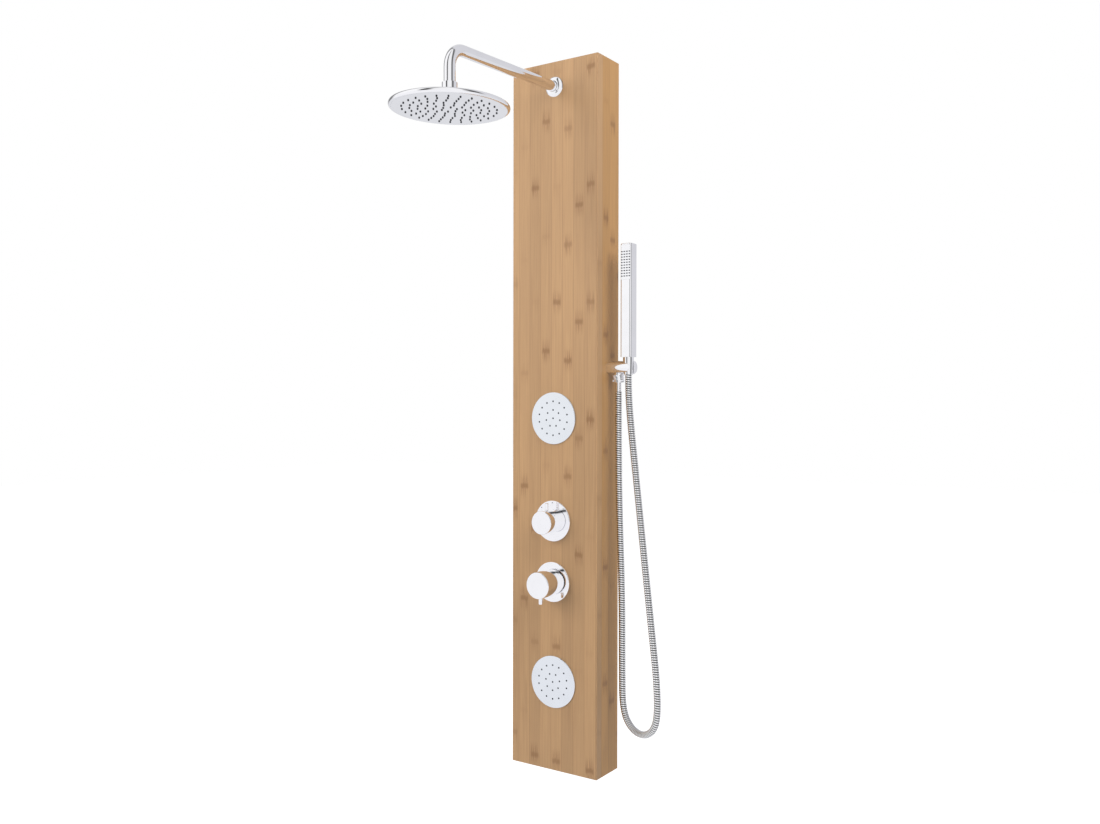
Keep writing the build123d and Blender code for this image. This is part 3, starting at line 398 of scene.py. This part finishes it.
hoseSettings = {
    "route": [
        (0.1200, -0.0330, -0.5350),
        (0.1200, -0.0330, -0.6430),
        (0.1230, -0.0330, -0.7800),
        (0.1292, -0.0330, -0.9350),
        (0.1296, -0.0330, -1.0710),
        (0.1319, -0.0345, -1.1565),
        (0.1603, -0.0460, -1.1870),
        (0.2004, -0.0620, -1.1870),
        (0.2288, -0.0738, -1.1560),
        (0.2276, -0.0728, -1.0830),
        (0.2132, -0.0660, -0.9950),
        (0.1896, -0.0545, -0.8530),
        (0.1654, -0.0435, -0.7000),
        (0.1494, -0.0365, -0.5990),
        (0.1420, -0.0330, -0.5370),
        (0.1420, -0.0330, -0.5020),
    ],
    "length": 1.4057,
    "crestRadius": 0.00685,
    "grooveDepth": 0.15,
    "ribPitch": 0.0044,
    "moves": (0.60, 1.385),  # metres along the hose
    "ringsPerRib": 8.0,
    "sides": 20,
}


def hoseLine():
    curve = bpy.data.curves.new("hoseRoute", "CURVE")
    curve.dimensions = "3D"
    curve.resolution_u = 24
    spline = curve.splines.new("NURBS")
    spline.points.add(len(hoseSettings["route"]) - 1)
    for point, place in zip(spline.points, hoseSettings["route"]):
        point.co = (*place, 1.0)
    spline.order_u = 3
    spline.use_endpoint_u = True
    carrier = addPiece("hoseRoute", curve)
    bpy.context.view_layer.update()
    seen = carrier.evaluated_get(bpy.context.evaluated_depsgraph_get())
    line = bpy.data.meshes.new_from_object(seen)
    bpy.data.objects.remove(carrier)
    return line


# A round tube along the line, whose radius follows a wound strip's outline
def ribbedHoseTree():
    sockets = [("Crest Radius", "Float"), ("Groove Depth", "Float"), ("Rib Pitch", "Float"),
               ("Rings Per Rib", "Float"), ("Sides", "Int"), ("Finish", "Material")]
    tree = newGeometryTree("ribbedHose", sockets)
    given = addNode(tree, "NodeGroupInput").outputs
    line = addNode(tree, "GeometryNodeMeshToCurve", {"Mesh": given["Geometry"]})
    step = calc(tree, "DIVIDE", given["Rib Pitch"], given["Rings Per Rib"])
    line = addNode(
        tree, "GeometryNodeResampleCurve", {"Curve": line.outputs[0], "Length": step}, mode="LENGTH"
    )
    along = addNode(tree, "GeometryNodeSplineParameter")
    keepLine = tree.nodes.new("GeometryNodeCaptureAttribute")
    keepLine.capture_items.new("FLOAT", "along")
    keepLine.capture_items.new("VECTOR", "centre")
    tree.links.new(line.outputs[0], keepLine.inputs["Geometry"])
    tree.links.new(along.outputs["Length"], keepLine.inputs[1])
    tree.links.new(addNode(tree, "GeometryNodeInputPosition").outputs[0], keepLine.inputs[2])
    circle = addNode(
        tree,
        "GeometryNodeCurvePrimitiveCircle",
        {"Resolution": given["Sides"], "Radius": given["Crest Radius"]},
    )
    around = addNode(tree, "GeometryNodeSplineParameter")
    keepCircle = tree.nodes.new("GeometryNodeCaptureAttribute")
    keepCircle.capture_items.new("FLOAT", "around")
    tree.links.new(circle.outputs[0], keepCircle.inputs["Geometry"])
    tree.links.new(around.outputs["Factor"], keepCircle.inputs[1])
    tube = addNode(
        tree,
        "GeometryNodeCurveToMesh",
        {"Curve": keepLine.outputs[0], "Profile Curve": keepCircle.outputs[0], "Fill Caps": True},
    )
    turns = calc(tree, "DIVIDE", keepLine.outputs[1], given["Rib Pitch"])
    phase = calc(tree, "FRACT", calc(tree, "ADD", turns, keepCircle.outputs[1]))
    crest = calc(
        tree,
        "MULTIPLY",
        smoothStep(tree, phase, 0.12, 0.28),
        smoothStep(tree, phase, 0.74, 0.90, 1.0, 0.0),
    )
    deep = calc(tree, "SUBTRACT", 1.0, crest)
    share = calc(tree, "SUBTRACT", 1.0, calc(tree, "MULTIPLY", deep, given["Groove Depth"]))
    place = addNode(tree, "GeometryNodeInputPosition").outputs[0]
    out = addNode(
        tree, "ShaderNodeVectorMath", {0: place, 1: keepLine.outputs[2]}, operation="SUBTRACT"
    )
    out = addNode(
        tree, "ShaderNodeVectorMath", {0: out.outputs[0], "Scale": share}, operation="SCALE"
    )
    out = addNode(
        tree, "ShaderNodeVectorMath", {0: out.outputs[0], 1: keepLine.outputs[2]}, operation="ADD"
    )
    moved = addNode(
        tree, "GeometryNodeSetPosition", {"Geometry": tube.outputs[0], "Position": out.outputs[0]}
    )
    kept = addNode(
        tree,
        "GeometryNodeStoreNamedAttribute",
        {"Geometry": moved.outputs[0], "Name": "grooveDepth", "Value": deep},
        data_type="FLOAT",
    )
    kept = addNode(
        tree,
        "GeometryNodeStoreNamedAttribute",
        {"Geometry": kept.outputs[0], "Name": "alongHose", "Value": keepLine.outputs[1]},
        data_type="FLOAT",
    )
    smooth = addNode(tree, "GeometryNodeSetShadeSmooth", {"Geometry": kept.outputs[0]})
    finishTree(tree, smooth.outputs[0], given["Finish"])
    return tree


# Reads how far along the hose each point lies; nothing is moved, so the whole hose stays where it is
# made
def followHandset(hose):
    count = len(hose.data.vertices)
    along = [0.0] * count
    hose.data.attributes["alongHose"].data.foreach_get("value", along)


def makeHose():
    s = hoseSettings
    line = hoseLine()
    values = {
        "Crest Radius": s["crestRadius"],
        "Groove Depth": s["grooveDepth"],
        "Rib Pitch": s["ribPitch"],
        "Rings Per Rib": s["ringsPerRib"],
        "Sides": s["sides"],
        "Finish": finishes["hose_metal"],
    }
    hose = growPiece("ribbedHose", line, ribbedHoseTree(), values)
    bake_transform(hose)
    followHandset(hose)
    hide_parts("shower_hose")
    return hose


makeHose()
print("hose made")


# Bamboo on the boards, and every other node by its slot

boardSettings = {
    "front": {
        "start": -0.1099,
        "phases": (0.06, 0.107, 0.022, 0.150, 0.019, 0.130, 0.205, 0.015, 0.09),
    },
    "side": {"start": -0.0875, "phases": (0.03, 0.180, 0.140, 0.07)},
}


def dressNodes():
    front = boardSettings["front"]
    side = boardSettings["side"]
    faceWood = makeBamboo("bambooFace", "X", front["start"], front["phases"], 2.0, 1.03)
    sideWood = makeBamboo("bambooSide", "Y", side["start"], side["phases"], 5.0, 1.16)
    jetChrome = makeMetal("jetChrome", dulled=0.05)
    slots = {name: node.material_slots[0].material.name for name, node in nodes.items()}
    for name, node in nodes.items():
        slot = slots[name]
        if slot == "bamboo":
            finish = sideWood if "side_board" in name else faceWood
        elif name.endswith("_jet_cover"):
            finish = jetChrome
        else:
            finish = finishes[slot]
        for place in node.material_slots:
            place.material = finish


dressNodes()
print("nodes dressed")


# Small fittings: nuts on the pipes, threads on the inlets, the hose nut's grip, jet nozzles,
# the handset's dark bars and the diverter's marks

fittingSettings = {
    "pipeNuts": [  # x, y, height above the panel's foot, axis
        (0.0, -0.024, 0.4110, "Z"),
        (0.0, -0.024, 0.4580, "Z"),
        (0.0, -0.024, 0.5320, "Z"),
        (0.0, -0.024, 1.3242, "Z"),
        (-0.060, -0.042, 0.5140, "Z"),
        (-0.060, -0.042, 0.4754, "Z"),
        (-0.037, -0.042, 0.4947, "X"),
        (-0.037, -0.042, 0.6977, "X"),
        (-0.037, -0.042, 0.1756, "X"),
        (0.033, -0.033, 0.4947, "X"),
        (0.056, -0.033, 0.7800, "Z"),
    ],
    "nutRadius": 0.0086,
    "nutWall": 0.0032,
    "nutHeight": 0.0080,
    "threadTops": [(-0.019, -0.030, 0.3325), (0.019, -0.030, 0.3325)],
    "threadRings": 8,
    "threadPitch": 0.0018,
    "threadRadius": 0.01042,
    "threadCrest": 0.0006,
    "gripPlace": (0.120, -0.033, 0.7758),
    "gripRadius": 0.0102,
    "gripCount": 22,
    "gripBar": (0.0011, 0.0011, 0.0140),
    "gripSlant": 0.42,
    "jetHeights": ((0.6977, 0.0), (0.1756, math.pi / 7)),
    "jetRings": ((0.0, 1), (0.0165, 7), (0.0335, 14)),
    "jetFront": -0.0829,
    "jetRadius": 0.0019,
    "jetTip": 0.0013,
    "jetStand": 0.0009,
    "slitColumns": 4,
    "slitRows": 10,
    "slitPitch": (0.0056, 0.00525),
    "slitTop": (0.142, -0.0452, 1.0200),
    "slitSize": (0.0030, 0.0010, 0.0018),
    "markHeight": 0.4947,
    "markRing": 0.0362,
    "markTurns": (-45, 0, 45),
    "markFront": -0.08495,
    "markRadius": 0.0011,
    "markStand": 0.00025,
}


def pointsMesh(name, places, axes=None):
    mesh = bpy.data.meshes.new(name)
    mesh.from_pydata([(x, y, z + panelFoot) for x, y, z in places], [], [])
    if axes:
        attribute = mesh.attributes.new("axis", "FLOAT_VECTOR", "POINT")
        directions = {"X": (1, 0, 0), "Y": (0, 1, 0), "Z": (0, 0, 1)}
        for item, axis in zip(attribute.data, axes):
            item.vector = directions[axis]
    return mesh


# A hollow hexagon nut on each point, turned to the point's axis
def pipeNutTree():
    sockets = [("Nut Radius", "Float"), ("Nut Wall", "Float"), ("Nut Height", "Float"),
               ("Finish", "Material")]
    tree = newGeometryTree("pipeNuts", sockets)
    given = addNode(tree, "NodeGroupInput").outputs
    hexagon = addNode(
        tree, "GeometryNodeCurvePrimitiveCircle", {"Resolution": 6, "Radius": given["Nut Radius"]}
    )
    section = addNode(
        tree,
        "GeometryNodeCurvePrimitiveQuadrilateral",
        {"Width": given["Nut Wall"], "Height": given["Nut Height"]},
    )
    nut = addNode(
        tree,
        "GeometryNodeCurveToMesh",
        {"Curve": hexagon.outputs[0], "Profile Curve": section.outputs[0]},
    )
    axis = addNode(
        tree, "GeometryNodeInputNamedAttribute", {"Name": "axis"}, data_type="FLOAT_VECTOR"
    )
    turned = addNode(tree, "FunctionNodeAlignRotationToVector", {"Vector": axis.outputs[0]}, axis="Z")
    placed = addNode(
        tree,
        "GeometryNodeInstanceOnPoints",
        {"Points": given["Geometry"], "Instance": nut.outputs[0], "Rotation": turned.outputs[0]},
    )
    flat = addNode(
        tree, "GeometryNodeSetShadeSmooth", {"Geometry": placed.outputs[0], "Shade Smooth": False}
    )
    finishTree(tree, flat.outputs[0], given["Finish"])
    return tree


# Rings one under another below each point
def threadTree():
    sockets = [("Rings", "Int"), ("Pitch", "Float"), ("Ring Radius", "Float"),
               ("Crest", "Float"), ("Finish", "Material")]
    tree = newGeometryTree("threadRings", sockets)
    given = addNode(tree, "NodeGroupInput").outputs
    step = addNode(
        tree, "ShaderNodeCombineXYZ", {"Z": calc(tree, "MULTIPLY", given["Pitch"], -1.0)}
    )
    line = addNode(
        tree, "GeometryNodeMeshLine", {"Count": given["Rings"], "Offset": step.outputs[0]}, mode="OFFSET"
    )
    loop = addNode(
        tree, "GeometryNodeCurvePrimitiveCircle", {"Resolution": 40, "Radius": given["Ring Radius"]}
    )
    section = addNode(
        tree, "GeometryNodeCurvePrimitiveCircle", {"Resolution": 6, "Radius": given["Crest"]}
    )
    ring = addNode(
        tree,
        "GeometryNodeCurveToMesh",
        {"Curve": loop.outputs[0], "Profile Curve": section.outputs[0]},
    )
    rings = addNode(
        tree, "GeometryNodeInstanceOnPoints", {"Points": line.outputs[0], "Instance": ring.outputs[0]}
    )
    placed = addNode(
        tree,
        "GeometryNodeInstanceOnPoints",
        {"Points": given["Geometry"], "Instance": rings.outputs[0]},
    )
    finishTree(tree, placed.outputs[0], given["Finish"])
    return tree


# Slanted bars round a nut, standing a little out of it
def gripTree():
    sockets = [("Radius", "Float"), ("Count", "Int"), ("Bar", "Vector"), ("Slant", "Float"),
               ("Finish", "Material")]
    tree = newGeometryTree("gripBars", sockets)
    given = addNode(tree, "NodeGroupInput").outputs
    circle = addNode(
        tree, "GeometryNodeMeshCircle", {"Vertices": given["Count"], "Radius": given["Radius"]}
    )
    bar = addNode(tree, "GeometryNodeMeshCube", {"Size": given["Bar"]})
    out = addNode(tree, "GeometryNodeInputPosition").outputs[0]
    turned = addNode(tree, "FunctionNodeAlignRotationToVector", {"Vector": out}, axis="X")
    slant = addNode(tree, "ShaderNodeCombineXYZ", {"X": given["Slant"]})
    lean = addNode(tree, "FunctionNodeEulerToRotation", {0: slant.outputs[0]})
    both = addNode(
        tree,
        "FunctionNodeRotateRotation",
        {"Rotation": turned.outputs[0], "Rotate By": lean.outputs[0]},
        rotation_space="LOCAL",
    )
    bars = addNode(
        tree,
        "GeometryNodeInstanceOnPoints",
        {"Points": circle.outputs[0], "Instance": bar.outputs[0], "Rotation": both.outputs[0]},
    )
    placed = addNode(
        tree,
        "GeometryNodeInstanceOnPoints",
        {"Points": given["Geometry"], "Instance": bars.outputs[0]},
    )
    finishTree(tree, placed.outputs[0], given["Finish"])
    return tree


# A small cone on each point, standing out of the panel's front
def studTree():
    sockets = [("Base", "Float"), ("Tip", "Float"), ("Stand", "Float"), ("Finish", "Material")]
    tree = newGeometryTree("frontStuds", sockets)
    given = addNode(tree, "NodeGroupInput").outputs
    cone = addNode(
        tree,
        "GeometryNodeMeshCone",
        {
            "Vertices": 16,
            "Radius Top": given["Tip"],
            "Radius Bottom": given["Base"],
            "Depth": given["Stand"],
        },
    )
    placed = addNode(
        tree,
        "GeometryNodeInstanceOnPoints",
        {"Points": given["Geometry"], "Instance": cone.outputs[0], "Rotation": (math.pi / 2, 0, 0)},
    )
    finishTree(tree, placed.outputs[0], given["Finish"])
    return tree


# A small bar on each point, long sideways
def slitTree():
    tree = newGeometryTree("slitBars", [("Bar", "Vector"), ("Finish", "Material")])
    given = addNode(tree, "NodeGroupInput").outputs
    bar = addNode(tree, "GeometryNodeMeshCube", {"Size": given["Bar"]})
    placed = addNode(
        tree, "GeometryNodeInstanceOnPoints", {"Points": given["Geometry"], "Instance": bar.outputs[0]}
    )
    finishTree(tree, placed.outputs[0], given["Finish"])
    return tree


def addFitting(name, mesh, tree, values, slot, body="root"):
    piece = growPiece(name, mesh, tree, {**values, "Finish": finishes[slot]})
    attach(piece, body)
    return piece


def makeFittings():
    s = fittingSettings
    places = [nut[:3] for nut in s["pipeNuts"]]
    axes = [nut[3] for nut in s["pipeNuts"]]
    values = {"Nut Radius": s["nutRadius"], "Nut Wall": s["nutWall"], "Nut Height": s["nutHeight"]}
    points = pointsMesh("nutPoints", places, axes)
    nuts = addFitting("pipeNuts", points, pipeNutTree(), values, "brass")
    soften = nuts.modifiers.new("soften", "BEVEL")
    soften.width = 0.0005
    soften.segments = 2

    values = {
        "Rings": s["threadRings"],
        "Pitch": s["threadPitch"],
        "Ring Radius": s["threadRadius"],
        "Crest": s["threadCrest"],
    }
    points = pointsMesh("threadPoints", s["threadTops"])
    addFitting("inletThreads", points, threadTree(), values, "brass")

    values = {
        "Radius": s["gripRadius"],
        "Count": s["gripCount"],
        "Bar": s["gripBar"],
        "Slant": s["gripSlant"],
    }
    points = pointsMesh("gripPoint", [s["gripPlace"]])
    addFitting("hoseNutGrip", points, gripTree(), values, "chrome")

    places = []
    for height, turn in s["jetHeights"]:
        for radius, count in s["jetRings"]:
            for step in range(count):
                angle = turn + 2 * math.pi * step / count
                x, z = radius * math.sin(angle), radius * math.cos(angle)
                places.append((x, s["jetFront"], height + z))
    values = {"Base": s["jetRadius"], "Tip": s["jetTip"], "Stand": s["jetStand"]}
    points = pointsMesh("jetPoints", places)
    addFitting("jetNozzles", points, studTree(), values, "nozzle_rubber")

    places = []
    x, y, z = s["slitTop"]
    for column in range(s["slitColumns"]):
        for row in range(s["slitRows"]):
            across = (column - (s["slitColumns"] - 1) / 2) * s["slitPitch"][0]
            places.append((x + across, y, z - row * s["slitPitch"][1]))
    values = {"Bar": s["slitSize"]}
    points = pointsMesh("slitPoints", places)
    addFitting("handsetSlits", points, slitTree(), values, "nozzle_rubber", "handset")

    places = []
    for degrees in s["markTurns"]:
        angle = math.radians(degrees)
        x, z = s["markRing"] * math.sin(angle), s["markRing"] * math.cos(angle)
        places.append((x, s["markFront"], s["markHeight"] + z))
    values = {"Base": s["markRadius"], "Tip": s["markRadius"] * 0.9, "Stand": s["markStand"]}
    points = pointsMesh("markPoints", places)
    addFitting("diverterMarks", points, studTree(), values, "nozzle_rubber")


makeFittings()
print("fittings made")


# Studio: pale floor, white world and soft lamps

studioSettings = {
    "floorHeight": -1.9,
    "floorSize": 30.0,
    "floorTone": colour(236, 236, 236),
    "floorInMetal": (colour(247, 247, 250), colour(224, 225, 229)),  # in front, and behind
    "floorGlowReach": (0.6, 2.2),
    "floorGlow": (0.45, 0.82),
    "reflections": [  # the studio as metal sees it: degrees from the front, level, blue tint
        (-180, 0.66, 1.05),
        (-125, 0.74, 1.03),
        (-104, 0.20, 1.0),
        (-92, 0.20, 1.0),
        (-78, 0.94, 1.01),
        (-50, 1.00, 1.01),
        (-22, 0.96, 1.01),
        (-12, 0.05, 1.0),
        (-2, 0.05, 1.0),
        (10, 0.90, 1.01),
        (62, 0.95, 1.01),
        (80, 0.12, 1.0),
        (94, 0.14, 1.0),
        (110, 0.70, 1.05),
        (180, 0.66, 1.05),
    ],
    "ambient": 0.280,
    "lamps": [  # name, place, aim, size, power
        ("keyLamp", (-1.4, -3.0, 0.6), (0, 0, -0.6), 2.4, 66.9),
        ("sideLamp", (1.7, -0.5, 1.0), (0.1, 0, 0.1), 1.8, 40.0),
        ("topLamp", (-0.3, -0.8, 2.2), (0, -0.2, -0.4), 2.0, 6.6),
    ],
}


def makeFloor():
    s = studioSettings
    half = s["floorSize"] / 2
    corners = [(-half, -half), (half, -half), (half, half), (-half, half)]
    mesh = bpy.data.meshes.new("studioFloor")
    mesh.from_pydata([(x, y, s["floorHeight"]) for x, y in corners], [], [(0, 1, 2, 3)])
    floor = addPiece("studioFloor", mesh)
    material = bpy.data.materials.new("floorWhite")
    material.use_nodes = True
    tree = material.node_tree
    tree.nodes.clear()
    rays = addNode(tree, "ShaderNodeLightPath")
    seen = calc(tree, "MAXIMUM", rays.outputs["Is Camera Ray"], rays.outputs["Is Transmission Ray"])
    place = addNode(tree, "ShaderNodeTexCoord").outputs["Object"]
    flat = addNode(
        tree, "ShaderNodeVectorMath", {0: place, 1: (1.0, 1.0, 0.0)}, operation="MULTIPLY"
    )
    away = addNode(tree, "ShaderNodeVectorMath", {0: flat.outputs[0]}, operation="LENGTH")
    level = smoothStep(tree, away.outputs["Value"], *s["floorGlowReach"], *s["floorGlow"])
    glow = addNode(tree, "ShaderNodeEmission", {"Strength": calc(tree, "MULTIPLY", seen, level)})
    matt = addNode(tree, "ShaderNodeBsdfDiffuse", {"Color": s["floorTone"]})
    both = addNode(tree, "ShaderNodeAddShader", {0: matt.outputs[0], 1: glow.outputs[0]})
    parts = addNode(tree, "ShaderNodeSeparateXYZ", {"Vector": place})
    behind = smoothStep(tree, parts.outputs["Y"], -0.5, 0.5)
    tone = blendColours(tree, behind, *s["floorInMetal"])
    mirrored = addNode(tree, "ShaderNodeEmission", {"Color": tone})
    final = addNode(
        tree,
        "ShaderNodeMixShader",
        {0: rays.outputs["Is Glossy Ray"], 1: both.outputs[0], 2: mirrored.outputs[0]},
    )
    addNode(tree, "ShaderNodeOutputMaterial", {"Surface": final.outputs[0]})
    mesh.materials.append(material)


def makeWorld():
    world = bpy.data.worlds.new("studioWorld")
    world.use_nodes = True
    tree = world.node_tree
    tree.nodes.clear()
    rays = addNode(tree, "ShaderNodeLightPath")
    seen = calc(tree, "MAXIMUM", rays.outputs["Is Camera Ray"], rays.outputs["Is Transmission Ray"])
    glossy = rays.outputs["Is Glossy Ray"]
    direction = addNode(tree, "ShaderNodeTexCoord").outputs["Generated"]
    parts = addNode(tree, "ShaderNodeSeparateXYZ", {"Vector": direction})
    toFront = calc(tree, "MULTIPLY", parts.outputs["Y"], -1.0)
    turn = calc(tree, "ARCTAN2", parts.outputs["X"], toFront)
    ramp = tree.nodes.new("ShaderNodeValToRGB")
    stops = studioSettings["reflections"]
    while len(ramp.color_ramp.elements) < len(stops):
        ramp.color_ramp.elements.new(1.0)
    for element, (degrees, level, blue) in zip(ramp.color_ramp.elements, stops):
        element.position = degrees / 360 + 0.5
        element.color = (level, level, level * blue, 1)
    share = calc(tree, "ADD", calc(tree, "DIVIDE", turn, 2 * math.pi), 0.5)
    tree.links.new(share, ramp.inputs["Fac"])

    def light(tone, strength):
        inputs = {"Color": tone, "Strength": strength}
        return addNode(tree, "ShaderNodeBackground", inputs).outputs[0]

    def either(share, first, second):
        return addNode(tree, "ShaderNodeMixShader", {0: share, 1: first, 2: second}).outputs[0]

    white = (1, 1, 1, 1)
    ambient = light(white, studioSettings["ambient"])
    onObject = either(glossy, ambient, light(ramp.outputs["Color"], 1.0))
    final = either(seen, onObject, light(white, 1.0))
    addNode(tree, "ShaderNodeOutputWorld", {"Surface": final})
    scene.world = world


def makeLamps():
    for name, place, target, size, power in studioSettings["lamps"]:
        data = bpy.data.lights.new(name, "AREA")
        data.shape = "SQUARE"
        data.size = size
        data.energy = power
        lamp = addPiece(name, data)
        lamp.location = place
        aim = Vector(target) - Vector(place)
        lamp.rotation_mode = "QUATERNION"
        lamp.rotation_quaternion = aim.to_track_quat("-Z", "Y")
        lamp.visible_glossy = False


makeFloor()
makeWorld()
makeLamps()
scene.view_settings.view_transform = "Standard"
print("studio made")
